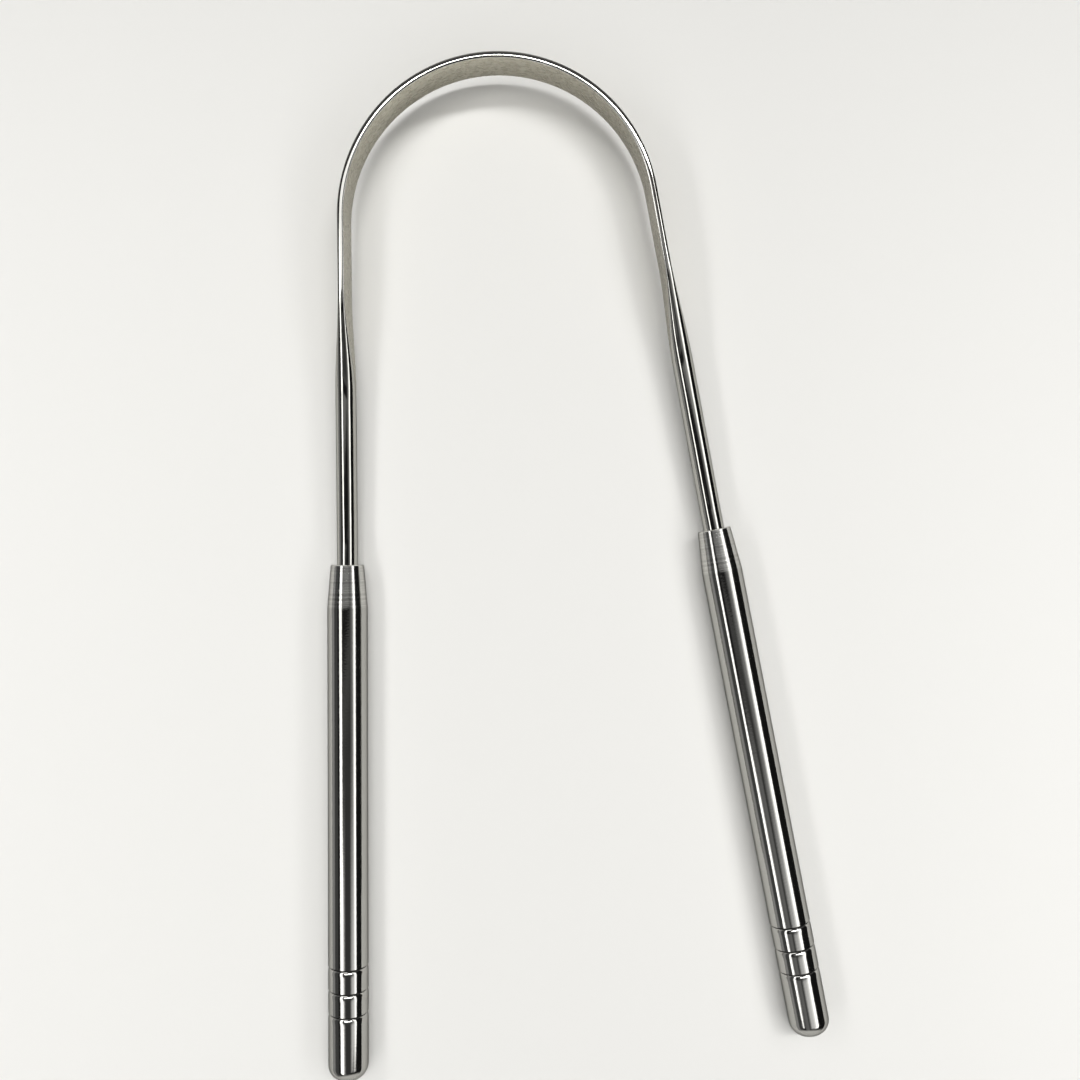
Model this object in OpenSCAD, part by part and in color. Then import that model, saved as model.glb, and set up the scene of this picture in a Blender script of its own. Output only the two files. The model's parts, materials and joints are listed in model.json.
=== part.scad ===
// Tongue scraper: a wire bow, rolled flat round its arc, with a turned bar on each end.
// It lies as on a table, with the bow pointing along +Y and the table at height zero.
// The origin is on the table, at the middle of the whole length and width.

/* [Bow] */
// Diameter of the round wire
wire_d = 3.1; // [2.4:0.1:3.6]
// Width of the flattened band, which stands upright
band_w = 6.8; // [5:0.1:8]
// Thickness of the flattened band
band_t = 0.95; // [0.6:0.05:1.4]
// Share of the band's thickness that lies outside the top of its crowned edge
crown_share = 0.67; // [0.5:0.01:0.8]
// Height of the crown on the outer side, as a share of the band's thickness
crown_out = 0.26; // [0.15:0.01:0.5]
// Height of the crown on the inner side, as a share of the band's thickness
crown_in = 0.13; // [0.08:0.01:0.3]
// Outside width of the arc
arc_w = 46.8; // [40:0.2:56]
// Length of the bow from the nose of the handles to the outside of the arc
reach = 72; // [66:0.5:90]
// Angle between each leg and the centre line, in degrees
splay = 5.4; // [3:0.1:8]
// Angle at which the bow is set up from the handles, in degrees
rise = 2.5; // [1.5:0.1:6]
// Length of round wire in front of each handle
wire_len = 24.5; // [16:0.5:28]
// Length over which the round wire turns into the flat band
blend_len = 16; // [8:0.5:18]
// Distance from the nose of the handles to the start of the upward bend
knee_y = 3; // [1:0.5:6]
// Radius of the upward bend, on the centre line of the wire
knee_r = 20; // [10:1:40]
// Length of the wire inside each handle
tail_len = 14; // [8:0.5:25]

/* [Handles] */
// Diameter of the handle
handle_d = 6; // [5.6:0.1:8]
// Length of the handle
handle_len = 77; // [60:0.5:110]
// Diameter of the flat face at the nose
nose_d = 4.95; // [4.2:0.05:5.4]
// Length of the taper behind the nose
taper_len = 6.4; // [4:0.1:10]
// Chamfer round the nose face
nose_chamfer = 0.12; // [0.05:0.01:0.25]
// Radius of the corner round the tail
tail_round = 2.2; // [1:0.1:2.6]
// Radius of the crown across the tail
tail_crown = 5; // [3.5:0.1:12]

/* [Grip grooves] */
// Number of grooves in each handle
groove_count = 3; // [0:1:5]
// Length of the steep wall on the nose side of a groove
groove_wall = 0.28; // [0.2:0.01:0.5]
// Length of the long ease on the tail side of a groove
groove_ease = 1.2; // [0.6:0.1:2]
// Depth of a groove
groove_depth = 0.25; // [0.1:0.01:0.4]
// Spacing of the grooves
groove_pitch = 3.5; // [2.6:0.1:5]
// Distance from the tail to the bottom of the last groove
groove_end = 10; // [7:0.1:16]

/* [Fit of the wire in the handles] */
// Gap all round the wire in its socket, filled by the bonding film
socket_gap = 0.03; // [0.02:0.01:0.08]
// Gap between the end of the wire and the bottom of the socket
socket_end_gap = 0.4; // [0.2:0.1:1]

/* [Hidden] */

// Full angle of the point that a twist drill leaves at the bottom of a socket
drill_point = 118;
// Power by which the crown is reached a little before the band is at its full width
crown_lead = 0.75;
// Power that gives the ease of a groove its curve
ease_power = 4;
// Steps of the curves
section_steps = 24;
arc_steps = 26;
blend_steps = 12;
knee_steps = 3;
groove_steps = 12;
round_steps = 10;
turn_steps = 96;

// Length of a circular arc from its radius and its angle in degrees
function arc_length(radius, angle) = radius * angle * PI / 180;

// The bow in plan, before it is bent up at the knee, with the noses on the line y = 0
arc_r = (arc_w - band_t) / 2;
arc_y = reach - band_t / 2 - arc_r;
arc_half = arc_length(arc_r, 90 - splay);
leg_len = (arc_y + arc_r * sin(splay)) / cos(splay);
nose_x = arc_r * cos(splay) + leg_len * sin(splay);
knee_len = arc_length(knee_r, rise);

// Handle and socket
handle_r = handle_d / 2;
nose_r = nose_d / 2;
socket_r = wire_d / 2 + socket_gap;
socket_len = tail_len + socket_end_gap;

// Where the noses lie along Y, so that the origin is at the middle of the whole length
outer_part = band_t * crown_share;
front_end = bent([0, reach - outer_part, band_t * crown_out - band_w / 2])[1] + outer_part;
back_end = (handle_len - tail_crown) * cos(splay) + tail_crown;
nose_y = (back_end - front_end) / 2;

// A point of the flat plan after the bow is bent up: y follows a bend about a line along X
function bent(p) =
    p[1] < knee_y ? p
    : let(turn = min(1, (p[1] - knee_y) / knee_len) * rise,
          past = max(0, p[1] - knee_y - knee_len))
      [p[0],
       knee_y + (knee_r - p[2]) * sin(turn) + past * cos(turn),
       knee_r - (knee_r - p[2]) * cos(turn) + past * sin(turn)];

// Direction that points out of the bow, at a distance from its apex, positive to the right
function outward(run) = 90 - (90 - splay) * max(-1, min(1, run / arc_half));

// Centre line of the bow in plan, at a distance from its apex
function centre_line(run) =
    let(angle = outward(run), leg = max(0, abs(run) - arc_half))
    [arc_r * cos(angle) + leg * sin(splay) * sign(run),
     arc_y + arc_r * sin(angle) - leg * cos(splay)];

// How far the wire is turned into the band at a distance from its apex, from 0 to 1
function flatness(run) =
    let(from_nose = arc_half + leg_len - abs(run),
        share = max(0, min(1, (from_nose - wire_len) / blend_len)))
    (1 - cos(180 * share)) / 2;

// Half-axis of a quarter of the section, which goes from the radius of the wire to its size in the band
function half_axis(size, share) = (wire_d + (2 * size - wire_d) * share) / 2;

// One cross-section of the bow: a circle that turns into a band with crowned edges, fuller outside
function section(run) =
    let(flat = flatness(run),
        half_w = half_axis(band_w / 2, flat),
        shift = (band_t / 2 - outer_part) * flat,
        angle = outward(run),
        middle = centre_line(run))
    [for (i = [0 : section_steps - 1])
        let(turn = (i + 0.5) * 360 / section_steps,
            outside = cos(turn) > 0,
            wide = half_axis(outside ? outer_part : band_t - outer_part, flat),
            high = half_axis(band_t * (outside ? crown_out : crown_in), pow(flat, crown_lead)),
            out = shift + wide * cos(turn),
            up = high * sin(turn) + (half_w - high) * sign(sin(turn)))
        bent([middle[0] + out * cos(angle), middle[1] + out * sin(angle), up])];

// Distances from the apex at which the bow has a cross-section, for one side
leg_end = arc_half + leg_len;
side_runs = concat(
    [for (i = [1 : arc_steps]) arc_half * i / arc_steps],
    [for (i = [blend_steps : -1 : 0]) leg_end - wire_len - blend_len * i / blend_steps],
    [for (i = [knee_steps : -1 : 0]) leg_end - (knee_y + knee_len * i / knee_steps) / cos(splay)],
    [leg_end + tail_len]);
last_run = len(side_runs) - 1;
runs = concat([for (i = [last_run : -1 : 0]) -side_runs[i]], [0], side_runs);

// Skin of a row of sections, with an end face on each end
function skin_faces(rows, steps) = concat(
    [for (j = [0 : rows - 2], i = [0 : steps - 1])
        [j * steps + i, (j + 1) * steps + i, j * steps + (i + 1) % steps]],
    [for (j = [0 : rows - 2], i = [0 : steps - 1])
        [(j + 1) * steps + i, (j + 1) * steps + (i + 1) % steps, j * steps + (i + 1) % steps]],
    [[for (i = [0 : steps - 1]) i]],
    [[for (i = [steps - 1 : -1 : 0]) (rows - 1) * steps + i]]);

// Outline of a groove in the profile of the handle: a steep wall, then a long ease back to the bar
function groove(bottom) = concat(
    [[handle_r, bottom - groove_wall]],
    [for (i = [0 : groove_steps])
        let(share = pow(i / groove_steps, 2))
        [handle_r - groove_depth * pow(1 - share, ease_power), bottom + groove_ease * share]]);

// Outline of the tail: a corner that runs into a crown, and ends on the axis
crown_angle = asin((handle_r - tail_round) / (tail_crown - tail_round));
corner_z = handle_len - tail_crown + (tail_crown - tail_round) * cos(crown_angle);
tail_outline = concat(
    [for (i = [0 : round_steps])
        let(angle = (90 - crown_angle) * i / round_steps)
        [handle_r - tail_round + tail_round * cos(angle), corner_z + tail_round * sin(angle)]],
    [for (i = [round_steps / 2 - 1 : -1 : 0])
        let(angle = crown_angle * i / (round_steps / 2))
        [tail_crown * sin(angle), handle_len - tail_crown + tail_crown * cos(angle)]]);

// Profile of the handle from its axis out, with the nose at zero and the socket drilled in it
handle_profile = concat(
    [[socket_r, 0],
     [nose_r - nose_chamfer, 0],
     [nose_r, nose_chamfer],
     [handle_r, taper_len]],
    [for (k = [groove_count - 1 : -1 : 0], p = groove(handle_len - groove_end - groove_pitch * k)) p],
    tail_outline,
    [[0, socket_len + socket_r / tan(drill_point / 2)],
     [socket_r, socket_len]]);

// A handle on its side of the bow, where side is -1 on the left and 1 on the right
module handle(side) {
    translate([side * nose_x, nose_y, handle_r])
        rotate([90, 0, side * splay])
            rotate_extrude($fn = turn_steps)
                polygon(handle_profile);
}

// The bow: one piece of wire, rolled flat round the arc and left round where it is held
module bow() {
    color("lightgray")
        translate([0, nose_y, handle_r])
            polyhedron(
                points = [for (run = runs) each section(run)],
                faces = skin_faces(len(runs), section_steps),
                convexity = 6);
}

// Solid turned bar on the left leg
module left_handle() {
    color("silver")
        handle(-1);
}

// Solid turned bar on the right leg
module right_handle() {
    color("silver")
        handle(1);
}

bow();
left_handle();
right_handle();
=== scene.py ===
import json
import math

import bmesh
import bpy
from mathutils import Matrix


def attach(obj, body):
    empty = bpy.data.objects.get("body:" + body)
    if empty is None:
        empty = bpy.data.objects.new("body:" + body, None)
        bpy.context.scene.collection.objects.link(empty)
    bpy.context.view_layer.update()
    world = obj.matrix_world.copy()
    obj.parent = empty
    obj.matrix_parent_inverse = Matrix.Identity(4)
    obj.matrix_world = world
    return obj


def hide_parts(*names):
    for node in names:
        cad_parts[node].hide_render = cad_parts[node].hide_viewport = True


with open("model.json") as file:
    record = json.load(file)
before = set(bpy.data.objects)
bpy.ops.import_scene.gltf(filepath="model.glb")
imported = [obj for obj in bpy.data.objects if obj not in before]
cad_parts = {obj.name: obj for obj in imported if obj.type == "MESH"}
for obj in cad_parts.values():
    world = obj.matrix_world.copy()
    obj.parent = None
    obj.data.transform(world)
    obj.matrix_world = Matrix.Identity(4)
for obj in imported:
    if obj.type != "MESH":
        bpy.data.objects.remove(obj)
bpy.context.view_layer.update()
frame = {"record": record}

MM = 0.001


# The bow
# One length of round stainless wire. Rolls press its middle into a thin band with low crowned edges,
# the band is bent on its flat to a U, and the legs are then set up a little, just past the handles.

wire_r = 1.55 * MM
band_half_w = 3.4 * MM
band_half_t = 0.475 * MM
arc_r = 22.925 * MM
reach = 72 * MM
wire_len = 24.5 * MM
blend_len = 16 * MM
tail_len = 14 * MM
knee_y = 3 * MM
knee_len = 0.873 * MM
rise = math.radians(2.5)

# The right grip in the record gives the lean of the handles, their height and the place of their noses
grip = {m["name"]: m for m in frame["record"]["mounts"]}["right_grip"]
handle_r = grip["dims"]["r_mm"] * MM
splay = math.atan2(grip["axis"][0], -grip["axis"][1])

arc_y = reach - band_half_t - arc_r
arc_half = arc_r * (math.pi / 2 - splay)
leg_len = (arc_y + arc_r * math.sin(splay)) / math.cos(splay)
leg_end = arc_half + leg_len
nose_x = arc_r * math.cos(splay) + leg_len * math.sin(splay)
grip_run = (grip["pos_m"][0] - nose_x) / math.sin(splay)
nose_y = grip["pos_m"][1] + grip_run * math.cos(splay)

# The rolled edge is a low crown. Its outer side is full and its inner corner, which scrapes, is crisp.
# The crown is reached a little before the band is at its full width
crown_out = 0.637 * MM
crown_out_h = 0.247 * MM
crown_in = 2 * band_half_t - crown_out
crown_in_h = 0.124 * MM
crown_lead = 0.75

WIRE_SIDES = 48
ARC_STEPS = 112
BLEND_STEPS = 24
KNEE_STEPS = 4
KNEE_MARGIN = 0.2
NEAR = 1e-6


def quarters(run):
    """The four quarters of the section at a distance from the apex: the middle and half-axes of each."""
    share = (leg_end - abs(run) - wire_len) / blend_len
    flat = (1 - math.cos(math.pi * min(1, max(0, share)))) / 2
    low = flat ** crown_lead
    half_w = wire_r + (band_half_w - wire_r) * flat
    middle = (band_half_t - crown_out) * flat
    found = {}
    for out_side, width, height in ((1, crown_out, crown_out_h), (-1, crown_in, crown_in_h)):
        width = wire_r + (width - wire_r) * flat
        height = wire_r + (height - wire_r) * low
        for up_side in (1, -1):
            found[out_side, up_side] = (middle, up_side * (half_w - height), width, height)
    return found


def pick(piece, test):
    """Selects the points of the piece that pass the test, and nothing else."""
    bpy.ops.mesh.select_mode(type="VERT")
    bpy.ops.mesh.select_all(action="DESELECT")
    shape = bmesh.from_edit_mesh(piece.data)
    for point in shape.verts:
        point.select = test(point.co)
    shape.select_flush_mode()
    bmesh.update_edit_mesh(piece.data)


# Distances from the apex to the sections of one leg. Those at the knee reach a little past its two ends
knee_shares = [1 + KNEE_MARGIN - (1 + 2 * KNEE_MARGIN) * i / KNEE_STEPS for i in range(KNEE_STEPS + 1)]
side_runs = [arc_half * i / (ARC_STEPS / 2) for i in range(1, ARC_STEPS // 2 + 1)]
side_runs += [leg_end - wire_len - blend_len * (1 - i / BLEND_STEPS) for i in range(BLEND_STEPS + 1)]
side_runs += [leg_end - (knee_y + knee_len * share) / math.cos(splay) for share in knee_shares]
side_runs += [leg_end, leg_end + tail_len]
runs = [-run for run in reversed(side_runs)] + [0] + side_runs

bpy.ops.object.select_all(action="DESELECT")
bpy.ops.mesh.primitive_circle_add(
    vertices=WIRE_SIDES,
    radius=wire_r,
    fill_type="NGON",
    location=(0, 0, 0),
    rotation=(0, math.pi / 2, 0),
)
bow = bpy.context.object
bow.name = "steel_bow"
bpy.ops.object.transform_apply(location=True, rotation=True, scale=True)
bpy.ops.object.mode_set(mode="EDIT")
bpy.ops.mesh.select_all(action="SELECT")
bpy.ops.transform.rotate(value=math.pi / WIRE_SIDES, orient_axis="X", center_override=(0, 0, 0))
bpy.ops.transform.translate(value=(runs[0], 0, 0))

section = quarters(runs[0])
for last_run, run in zip(runs, runs[1:]):
    bpy.ops.mesh.extrude_region_move(TRANSFORM_OT_translate={"value": (run - last_run, 0, 0)})
    new_section = quarters(run)
    if new_section != section:
        for (out_side, up_side), (y, z, width, height) in section.items():
            new_y, new_z, new_width, new_height = new_section[out_side, up_side]
            growth = (1, new_width / width, new_height / height)
            pick(bow, lambda co: (
                abs(co.x - run) < NEAR and (co.y - y) * out_side > 0 and co.z * up_side > 0
            ))
            bpy.ops.transform.resize(value=growth, center_override=(run, y, z))
            bpy.ops.transform.translate(value=(0, new_y - y, new_z - z))
        pick(bow, lambda co: abs(co.x - run) < NEAR)
    section = new_section

bpy.ops.mesh.select_all(action="SELECT")
bpy.ops.mesh.normals_make_consistent(inside=False)
bpy.ops.object.mode_set(mode="OBJECT")

# The marks of the rolls and of the drawing die follow the wire, so its straight shape is kept
straight = bow.data.attributes.new("straight", "FLOAT_VECTOR", "POINT")
straight.data.foreach_set("vector", [c for point in bow.data.vertices for c in point.co])

former = bow.modifiers.new("former", "SIMPLE_DEFORM")
former.deform_method = "BEND"
former.deform_axis = "Z"
former.angle = -2 * (math.pi / 2 - splay)
arc_share = arc_half / (leg_end + tail_len) / 2
former.limits = (0.5 - arc_share, 0.5 + arc_share)
bpy.ops.object.modifier_apply(modifier="former")

bow.location = (0, nose_y + arc_y + arc_r, handle_r)
bpy.ops.object.transform_apply(location=True, rotation=True, scale=True)
bpy.ops.object.mode_set(mode="EDIT")
for step in range(KNEE_STEPS):
    line_y = nose_y + knee_y + knee_len * (step + 0.5) / KNEE_STEPS
    line = (0, line_y, handle_r)
    pick(bow, lambda co: co.y > line_y)
    bpy.ops.transform.rotate(value=-rise / KNEE_STEPS, orient_axis="X", center_override=line)
bpy.ops.object.mode_set(mode="OBJECT")
bpy.ops.object.shade_smooth()
soften = bow.modifiers.new("soften", "WEIGHTED_NORMAL")
bpy.ops.object.modifier_apply(modifier="soften")


def linear(hex_colour):
    """A colour written as sRGB hex, as Blender's linear values."""
    shares = [int(hex_colour[i:i + 2], 16) / 255 for i in (1, 3, 5)]
    return [s / 12.92 if s <= 0.04045 else ((s + 0.055) / 1.055) ** 2.4 for s in shares] + [1]


def add(tree, kind, links=(), **settings):
    """Adds a node. Settings are set on the node, and links give its sockets other sockets or values."""
    made = tree.nodes.new(kind)
    for name, value in settings.items():
        setattr(made, name, value)
    for name, value in dict(links).items():
        if isinstance(value, bpy.types.NodeSocket):
            tree.links.new(value, made.inputs[name])
        else:
            made.inputs[name].default_value = value
    return made


def steel(name, colour, edge, roughness):
    """A bare polished steel with a colour and an edge tint. Returns its material, tree and shader."""
    material = bpy.data.materials.new(name)
    material.use_nodes = True
    tree = material.node_tree
    shader = tree.nodes["Principled BSDF"]
    shader.inputs["Base Color"].default_value = linear(colour)
    shader.inputs["Metallic"].default_value = 1
    shader.inputs["Specular Tint"].default_value = linear(edge)
    shader.inputs["Roughness"].default_value = roughness
    return material, tree, shader


def marks(tree, attribute, pitch, detail=2):
    """A pattern of fine marks. The pitch is its length in millimetres along each axis of the piece."""
    place = add(tree, "ShaderNodeAttribute", attribute_name=attribute)
    scaled = add(
        tree,
        "ShaderNodeMapping",
        {"Vector": place.outputs["Vector"], "Scale": [1 / (length * MM) for length in pitch]},
    )
    noise = add(tree, "ShaderNodeTexNoise", {"Vector": scaled.outputs[0], "Scale": 1, "Detail": detail})
    return noise.outputs["Fac"]


def relief(tree, shader, patterns):
    """Raises patterns on the surface, each with its depth in millimetres and on top of the one before."""
    links = {"Strength": 1}
    for height, depth in patterns:
        laid = add(tree, "ShaderNodeBump", {**links, "Height": height, "Distance": depth * MM})
        links["Normal"] = laid.outputs["Normal"]
    tree.links.new(links["Normal"], shader.inputs["Normal"])


# Nearly all of a pattern lies between these two values
PATTERN_SPAN = {"From Min": 0.3, "From Max": 0.7}

# Drawn stainless wire, polished: a cool grey mirror. The die leaves lines along it, drawn here 0.12 mm
# apart where the real ones are finer, so that they show
drawn_wire, tree, shader = steel("drawn_wire_steel", "#B2B1AC", "#9C9C9C", 0.11)
lines = marks(tree, "straight", (6, 0.12, 0.12))
cloud = marks(tree, "straight", (2.5, 0.8, 0.8), 3)
haze = add(tree, "ShaderNodeMapRange", {"Value": cloud, **PATTERN_SPAN, "To Min": 0.05, "To Max": 0.09})
tree.links.new(haze.outputs["Result"], shader.inputs["Roughness"])
relief(tree, shader, ((lines, 0.002), (cloud, 0.006)))

# Rolled stainless strip, satin: the rolls leave a soft warm grey with faint clouds and a grain along the
# band, drawn here 0.15 mm apart where the real one is finer
rolled_band, tree, shader = steel("rolled_band_steel", "#CAC6B8", "#D8D8D8", 0.28)
lines = marks(tree, "straight", (4, 0.15, 0.15))
cloud = marks(tree, "straight", (0.9, 0.6, 0.6), 4)
haze = add(tree, "ShaderNodeMapRange", {"Value": cloud, **PATTERN_SPAN, "To Min": 0.24, "To Max": 0.32})
tree.links.new(haze.outputs["Result"], shader.inputs["Roughness"])
pale = add(tree, "ShaderNodeMapRange", {"Value": cloud, **PATTERN_SPAN})
tint = add(tree, "ShaderNodeMix", {"Factor": pale.outputs["Result"]}, data_type="RGBA")
tint.inputs[6].default_value = linear("#C2BDAD")
tint.inputs[7].default_value = linear("#D4D0C3")
tree.links.new(tint.outputs[2], shader.inputs["Base Color"])
relief(tree, shader, ((lines, 0.0015), (cloud, 0.004)))

bow.data.materials.append(drawn_wire)
bow.data.materials.append(rolled_band)

# The rolls touch only the two flats of the band, and the drawn skin of the wire stays everywhere else.
# A face is on a flat if it's upright at both of its ends, and at least this high
flat_min = 0.25 * MM
start = bow.data.attributes["straight"].data
for face in bow.data.polygons:
    corners = [start[i].vector for i in face.vertices]
    ends = [(a, b) for a in corners for b in corners if abs(a.x - b.x) < NEAR and a != b]
    upright = all(abs(a.y - b.y) < NEAR and abs(a.z - b.z) > flat_min for a, b in ends)
    if len(corners) == 4 and upright:
        face.material_index = 1

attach(bow, "root")
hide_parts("bow")


# The handles
# Two solid bars turned from round stainless stock and polished. Each has a tapered nose with a drilled
# socket that holds the end of the wire, three soft grooves for the fingers, and a domed tail.

handle_len = 77 * MM
nose_r = 2.475 * MM
nose_chamfer = 0.12 * MM
taper_len = 6.4 * MM
taper_edge = 0.3 * MM
socket_r = wire_r + 0.03 * MM
socket_len = tail_len + 0.4 * MM
drill_half = math.radians(59)
drill_tip_r = 0.05 * MM
tail_round = 2.2 * MM
tail_crown = 5 * MM
groove_wall = 0.28 * MM
groove_ease = 1.2 * MM
groove_depth = 0.25 * MM
groove_pitch = 3.5 * MM
groove_end = 10 * MM
ease_power = 4
HANDLE_SIDES = 96
TAPER_STEPS = 6
WALL_STEPS = 4
EASE_STEPS = 14
TAIL_STEPS = 10

# The turned outline, from the bottom of the socket out to the nose and along the bar to the tail, as
# distances from the nose and radii
stations = [(socket_len, socket_r), (0, socket_r), (0, nose_r - nose_chamfer), (nose_chamfer, nose_r)]
for i in range(1, TAPER_STEPS + 1):
    along = nose_chamfer + (taper_len - nose_chamfer) * i / TAPER_STEPS
    stations.append((along, nose_r + (handle_r - nose_r) * i / TAPER_STEPS))
stations.append((taper_len + taper_edge, handle_r))
groove_bottoms = [handle_len - groove_end - groove_pitch * k for k in (2, 1, 0)]
for bottom in groove_bottoms:
    # A steep wall on the side of the nose, then a long ease back to the bar, in steps that widen
    for i in range(WALL_STEPS):
        share = i / WALL_STEPS
        stations.append((bottom - groove_wall * (1 - share), handle_r - groove_depth * share))
    for i in range(EASE_STEPS + 1):
        share = (i / EASE_STEPS) ** 2
        stations.append((bottom + groove_ease * share, handle_r - groove_depth * (1 - share) ** ease_power))
crown_angle = math.asin((handle_r - tail_round) / (tail_crown - tail_round))
corner_z = handle_len - tail_crown + (tail_crown - tail_round) * math.cos(crown_angle)
for i in range(TAIL_STEPS + 1):
    angle = (math.pi / 2 - crown_angle) * i / TAIL_STEPS
    radius = handle_r - tail_round + tail_round * math.cos(angle)
    stations.append((corner_z + tail_round * math.sin(angle), radius))
# The last ring is a tiny one, which is then merged into a point
for share in (0.75, 0.5, 0.25, 0.025):
    angle = crown_angle * share
    stations.append((handle_len - tail_crown + tail_crown * math.cos(angle), tail_crown * math.sin(angle)))

drill_tip_y = socket_len + (socket_r - drill_tip_r) / math.tan(drill_half)

bpy.ops.object.select_all(action="DESELECT")
bpy.ops.mesh.primitive_circle_add(
    vertices=HANDLE_SIDES,
    radius=drill_tip_r,
    fill_type="NGON",
    location=(0, -drill_tip_y, 0),
    rotation=(math.pi / 2, 0, 0),
)
right_handle = bpy.context.object
right_handle.name = "right_bar"
bpy.ops.object.transform_apply(location=True, rotation=True, scale=True)
bpy.ops.object.mode_set(mode="EDIT")
bpy.ops.mesh.select_all(action="SELECT")
last_y, last_r = drill_tip_y, drill_tip_r
for y, r in stations:
    bpy.ops.mesh.extrude_region_move(TRANSFORM_OT_translate={"value": (0, last_y - y, 0)})
    bpy.ops.transform.resize(value=(r / last_r, 1, r / last_r), center_override=(0, -y, 0))
    last_y, last_r = y, r
bpy.ops.mesh.merge(type="COLLAPSE")
bpy.ops.mesh.select_all(action="SELECT")
bpy.ops.mesh.normals_make_consistent(inside=False)
bpy.ops.object.mode_set(mode="OBJECT")
crisp_angle = math.radians(32)
bpy.ops.object.shade_smooth_by_angle(angle=crisp_angle)

bench = right_handle.data.attributes.new("bench", "FLOAT_VECTOR", "POINT")
bench.data.foreach_set("vector", [c for point in right_handle.data.vertices for c in point.co])

# Painted shade: the foot of the steep wall of each groove is painted dark and made rough, where the bar
# shows a dark line
shade_before = 0.25 * MM
shade_after = 0.05 * MM
groove_shade = right_handle.data.attributes.new("groove_shade", "FLOAT", "POINT")
for point, mark in zip(right_handle.data.vertices, groove_shade.data):
    from_bottoms = [-point.co.y - bottom for bottom in groove_bottoms]
    mark.value = any(-shade_before < distance < shade_after for distance in from_bottoms)

# Stainless bar, turned and polished: a slightly hazy mirror, and a satin taper where the tool marks still
# show round it. The marks are drawn 0.35 mm apart where the real ones are finer, so that they show, and
# along them the taper's colour is painted lighter: a painted sheen
polished_bar, tree, shader = steel("polished_bar_steel", "#B2B1AD", "#909090", 0.11)
place = add(tree, "ShaderNodeAttribute", attribute_name="bench")
bar_y = add(tree, "ShaderNodeSeparateXYZ", {"Vector": place.outputs["Vector"]}).outputs["Y"]
taper_fade = 0.05 * MM
fade = {"Value": bar_y, "From Min": -taper_len - taper_fade, "From Max": -taper_len + taper_fade}
on_taper = add(tree, "ShaderNodeMapRange", fade).outputs["Result"]
rings = marks(tree, "bench", (60, 0.35, 60), 4)
belt = marks(tree, "bench", (0.5, 0.25, 0.5), 3)
cloud = marks(tree, "bench", (3, 5, 3), 3)
polished = add(tree, "ShaderNodeMapRange", {"Value": cloud, **PATTERN_SPAN, "To Min": 0.06, "To Max": 0.11})
turned = add(tree, "ShaderNodeMapRange", {"Value": rings, **PATTERN_SPAN, "To Min": 0.07, "To Max": 0.16})
hazes = {"Factor": on_taper, "A": polished.outputs["Result"], "B": turned.outputs["Result"]}
haze = add(tree, "ShaderNodeMix", hazes).outputs["Result"]
# The mask of the painted shade at the foot of each groove wall
groove_shade_mask = add(tree, "ShaderNodeAttribute", attribute_name="groove_shade").outputs["Fac"]
rough = add(tree, "ShaderNodeMix", {"Factor": groove_shade_mask, "A": haze, "B": 0.4})
tree.links.new(rough.outputs["Result"], shader.inputs["Roughness"])
# Painted sheen: on the taper the base colour turns from the bar's grey to a paler one along the high parts
# of the rings, on top of their real relief
height = add(tree, "ShaderNodeMath", {0: rings, 1: on_taper}, operation="MULTIPLY").outputs[0]
sheen_streaks = add(tree, "ShaderNodeMapRange", {"Value": height, "From Min": 0.42, "From Max": 0.58})
bright = add(tree, "ShaderNodeMix", {"Factor": sheen_streaks.outputs["Result"]}, data_type="RGBA")
bright.inputs[6].default_value = linear("#B2B1AD")
bright.inputs[7].default_value = linear("#C8C7C3")
# Painted shade: the base colour turns dark grey at the foot of each groove wall
tint = add(tree, "ShaderNodeMix", {"Factor": groove_shade_mask}, data_type="RGBA")
tree.links.new(bright.outputs[2], tint.inputs[6])
tint.inputs[7].default_value = linear("#4A4947")
tree.links.new(tint.outputs[2], shader.inputs["Base Color"])
relief(tree, shader, ((belt, 0.006), (height, 0.018)))
right_handle.data.materials.append(polished_bar)

left_handle = right_handle.copy()
left_handle.data = right_handle.data.copy()
left_handle.name = "left_bar"
bpy.context.collection.objects.link(left_handle)

for bar, node, side in ((left_handle, "left_handle", -1), (right_handle, "right_handle", 1)):
    bpy.ops.object.select_all(action="DESELECT")
    bar.select_set(True)
    bpy.context.view_layer.objects.active = bar
    bar.rotation_euler = (0, 0, side * splay)
    bar.location = (side * nose_x, nose_y, handle_r)
    bpy.ops.object.transform_apply(location=True, rotation=True, scale=True)
    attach(bar, "root")
    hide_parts(node)


# The floor, the light and the camera
# A plain pale sheet, a soft light on each side of the view with the dark between them, and the camera
# straight above, turned a little so that the bow leans to the left.

pale_paper = "#EEEDE9"
floor_size = 6
fade_start = 140 * MM
fade_end = 320 * MM

bpy.ops.object.select_all(action="DESELECT")
bpy.ops.mesh.primitive_plane_add(size=floor_size)
floor = bpy.context.object
floor.name = "floor"

# Uncoated matt paper: an even, slightly warm white without a shine
paper = bpy.data.materials.new("matt_paper")
paper.use_nodes = True
tree = paper.node_tree
shader = tree.nodes["Principled BSDF"]
shader.inputs["Base Color"].default_value = linear(pale_paper)
shader.inputs["Roughness"].default_value = 0.9
shader.inputs["Specular IOR Level"].default_value = 0.2

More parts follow.
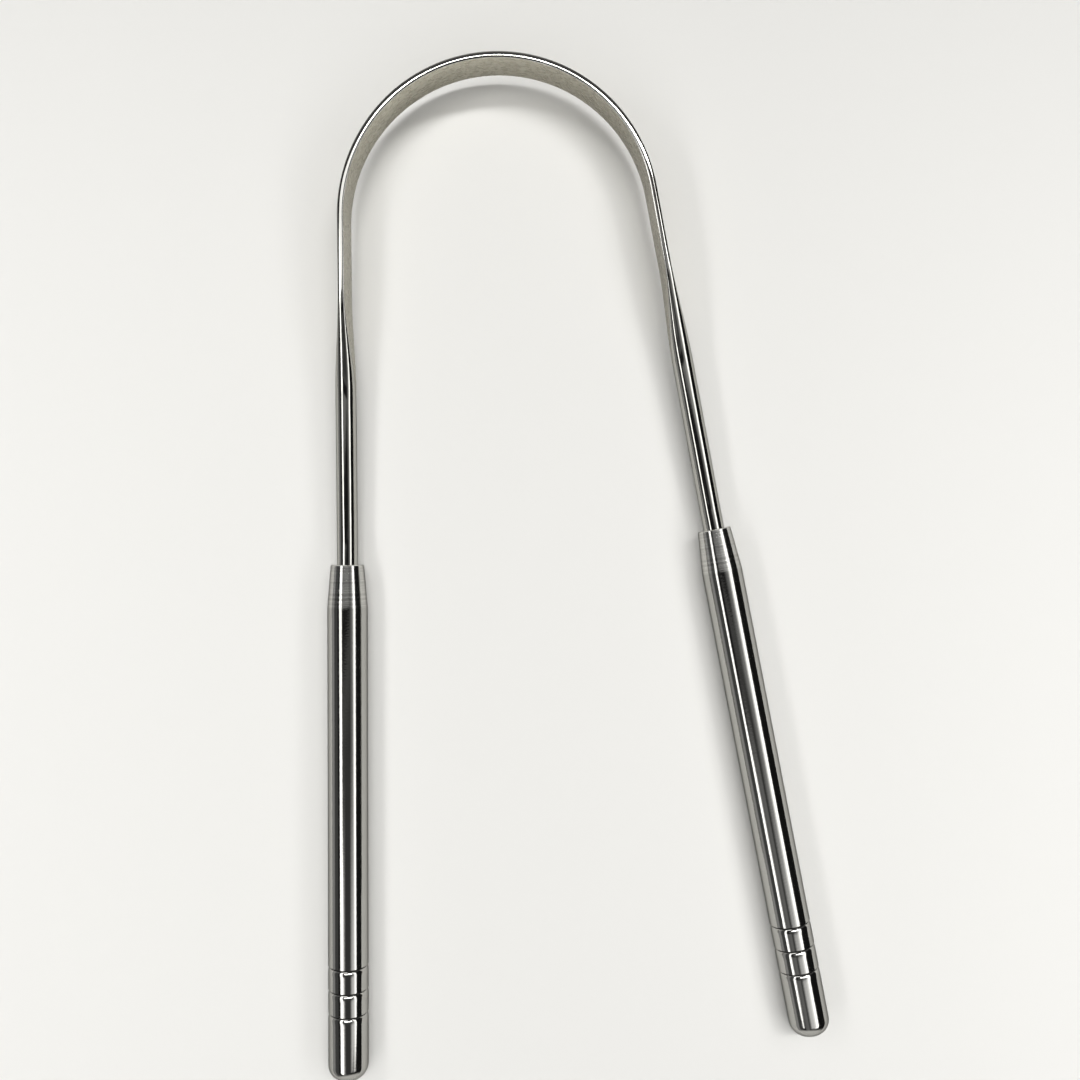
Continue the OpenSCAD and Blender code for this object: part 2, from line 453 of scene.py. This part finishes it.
# Far from the piece the sheet turns into the pale backdrop, to the camera and in the metal
where = add(tree, "ShaderNodeTexCoord")
distance = add(tree, "ShaderNodeVectorMath", {0: where.outputs["Object"]}, operation="LENGTH")
fade = {"Value": distance.outputs["Value"], "From Min": fade_start, "From Max": fade_end}
far_off = add(tree, "ShaderNodeMapRange", fade).outputs["Result"]
ray = add(tree, "ShaderNodeLightPath")
rays = {0: ray.outputs["Is Camera Ray"], 1: ray.outputs["Is Glossy Ray"]}
sight = add(tree, "ShaderNodeMath", rays, operation="ADD").outputs[0]
share = add(tree, "ShaderNodeMath", {0: far_off, 1: sight}, operation="MULTIPLY").outputs[0]
backdrop = add(tree, "ShaderNodeEmission", {"Color": linear(pale_paper), "Strength": 1.0})
mixed = add(tree, "ShaderNodeMixShader", {0: share, 1: shader.outputs[0], 2: backdrop.outputs[0]})
tree.links.new(mixed.outputs[0], tree.nodes["Material Output"].inputs["Surface"])
floor.data.materials.append(paper)

world = bpy.data.worlds.new("studio")
bpy.context.scene.world = world
world.use_nodes = True
tree = world.node_tree
tree.nodes.clear()
where = add(tree, "ShaderNodeTexCoord")
parts = add(tree, "ShaderNodeSeparateXYZ", {"Vector": where.outputs["Generated"]})
across = add(tree, "ShaderNodeMath", {0: parts.outputs["X"], 1: parts.outputs["Z"]}, operation="ARCTAN2")
along = add(tree, "ShaderNodeMath", {0: parts.outputs["Y"]}, operation="ARCSINE")
angles = (across.outputs[0], along.outputs[0])


def patch(tree, places, spans, unit, strength):
    """Light that is full between the middle two values of each span and fades to its ends."""
    for place, (start, full, fall, gone) in zip(places, spans):
        for dark, bright in ((start, full), (gone, fall)):
            ends = {"Value": place, "From Min": dark * unit, "From Max": bright * unit}
            step = add(tree, "ShaderNodeMapRange", ends, interpolation_type="SMOOTHSTEP")
            values = {0: step.outputs["Result"], 1: strength}
            lit = add(tree, "ShaderNodeMath", values, operation="MULTIPLY")
            strength = lit.outputs[0]
    return strength


# The far lights: the angles in degrees from straight up, across the view and along it, and the strength.
# The first is the lamp on the ceiling, and the others are the dim room
DEGREE = math.radians(1)
ALL_ROUND = (-180, -170, 170, 180)
FAR_LIGHTS = (
    (((-14, -6, 28, 36), (16.5, 19, 21, 23.5)), 28),
    (((-30, -20, 14, 28), (-70, -50, -6.5, -5.3)), 0.05),
    (((-30, -20, 14, 28), (-12, -7.5, -6.5, -5.3)), 0.05),
    (((-30, -20, 14, 28), (-1, 2, 9, 14)), 0.26),
    (((-34, -28, -15, -4), (-60, -40, -16, -11)), 0.17),
    (((-78, -70, -52, -46), (-60, -40, 40, 60)), 0.08),
    (((-92, -88, -77, -67), (-60, -40, 40, 60)), 0.4),
    ((ALL_ROUND, (27, 34, 90, 91)), 0.1),
)
NEARLY_DARK = 0.012
total = NEARLY_DARK
for spans, strength in FAR_LIGHTS:
    lit = patch(tree, angles, spans, DEGREE, strength)
    total = add(tree, "ShaderNodeMath", {0: lit, 1: total}, operation="ADD").outputs[0]
light = add(tree, "ShaderNodeBackground", {"Color": (1, 1, 1, 1), "Strength": total})

# The pale backdrop past the edge of the floor. The metal shows it too, low in front and behind, where
# it doesn't hide the room
seen = add(tree, "ShaderNodeBackground", {"Color": linear(pale_paper), "Strength": 1.0})
ray = add(tree, "ShaderNodeLightPath")
share = ray.outputs["Is Camera Ray"]
for low_span in ((-91, -90, -60, -42), (62, 72, 90, 91)):
    lit = patch(tree, angles, (ALL_ROUND, low_span), DEGREE, ray.outputs["Is Glossy Ray"])
    share = add(tree, "ShaderNodeMath", {0: lit, 1: share}, operation="ADD").outputs[0]
mixed = add(tree, "ShaderNodeMixShader", {0: share, 1: light.outputs[0], 2: seen.outputs[0]})
add(tree, "ShaderNodeOutputWorld", {"Surface": mixed.outputs[0]})

# The near lights are soft sheets over the piece: where each is across the view and along it, in
# millimetres, and its strength. Each hangs 1 mm above the last, they are clear where they are dark, and
# the camera doesn't see them
SHEET_HEIGHT = 165 * MM
SHEETS = (
    (((-157, -144, -107, -94), (-240, -210, 75, 105)), 3.2),
    (((80, 165, 185, 203), (-240, -210, 60, 95)), 3.1),
    (((20, 80, 120, 165), (-240, -210, 60, 95)), 0.25),
    (((-154, -138, -112, -102), (45, 75, 80, 108)), 5.5),
    (((100, 112, 120, 135), (45, 75, 92, 122)), 6.5),
    (((-118, -106, -20, 0), (64, 76, 125, 142)), 2),
    (((-125, -115, -92, -66), (-210, -185, -105, -75)), 1.2),
    (((15, 60, 95, 130), (-200, -190, -170, -60)), 0.75),
)
for number, (spans, strength) in enumerate(SHEETS):
    (left, _, _, right), (back, _, _, front) = spans
    middle = ((left + right) / 2 * MM, (back + front) / 2 * MM, SHEET_HEIGHT + number * MM)
    bpy.ops.mesh.primitive_plane_add(size=1, location=middle)
    sheet = bpy.context.object
    sheet.name = "light_sheet_%d" % number
    sheet.scale = ((right - left) * MM, (front - back) * MM, 1)
    bpy.ops.object.transform_apply(location=True, rotation=True, scale=True)
    glow = bpy.data.materials.new("glowing_sheet_%d" % number)
    glow.use_nodes = True
    tree = glow.node_tree
    tree.nodes.clear()
    where = add(tree, "ShaderNodeTexCoord")
    parts = add(tree, "ShaderNodeSeparateXYZ", {"Vector": where.outputs["Object"]})
    lit = patch(tree, (parts.outputs["X"], parts.outputs["Y"]), spans, MM, strength)
    shine = add(tree, "ShaderNodeEmission", {"Strength": lit})
    clear = add(tree, "ShaderNodeBsdfTransparent")
    both = add(tree, "ShaderNodeAddShader", {0: shine.outputs[0], 1: clear.outputs[0]})
    add(tree, "ShaderNodeOutputMaterial", {"Surface": both.outputs[0]})
    sheet.data.materials.append(glow)
    sheet.visible_camera = False

camera_x = 1.49 * MM
camera_past_nose = 0.92 * MM
camera_height = 159.5 * MM
focal_px = 1043
image_px = 1080
sensor_mm = 36
lean = math.radians(-5.535)
lens_data = bpy.data.cameras.new("camera")
lens_data.sensor_width = sensor_mm
lens_data.lens = focal_px / image_px * sensor_mm
lens_data.clip_start = 10 * MM
camera = bpy.data.objects.new("camera", lens_data)
camera.location = (camera_x, nose_y + camera_past_nose, camera_height)
camera.rotation_euler = (0, 0, lean)
bpy.context.scene.collection.objects.link(camera)
bpy.context.scene.camera = camera
bpy.context.scene.view_settings.view_transform = "Standard"
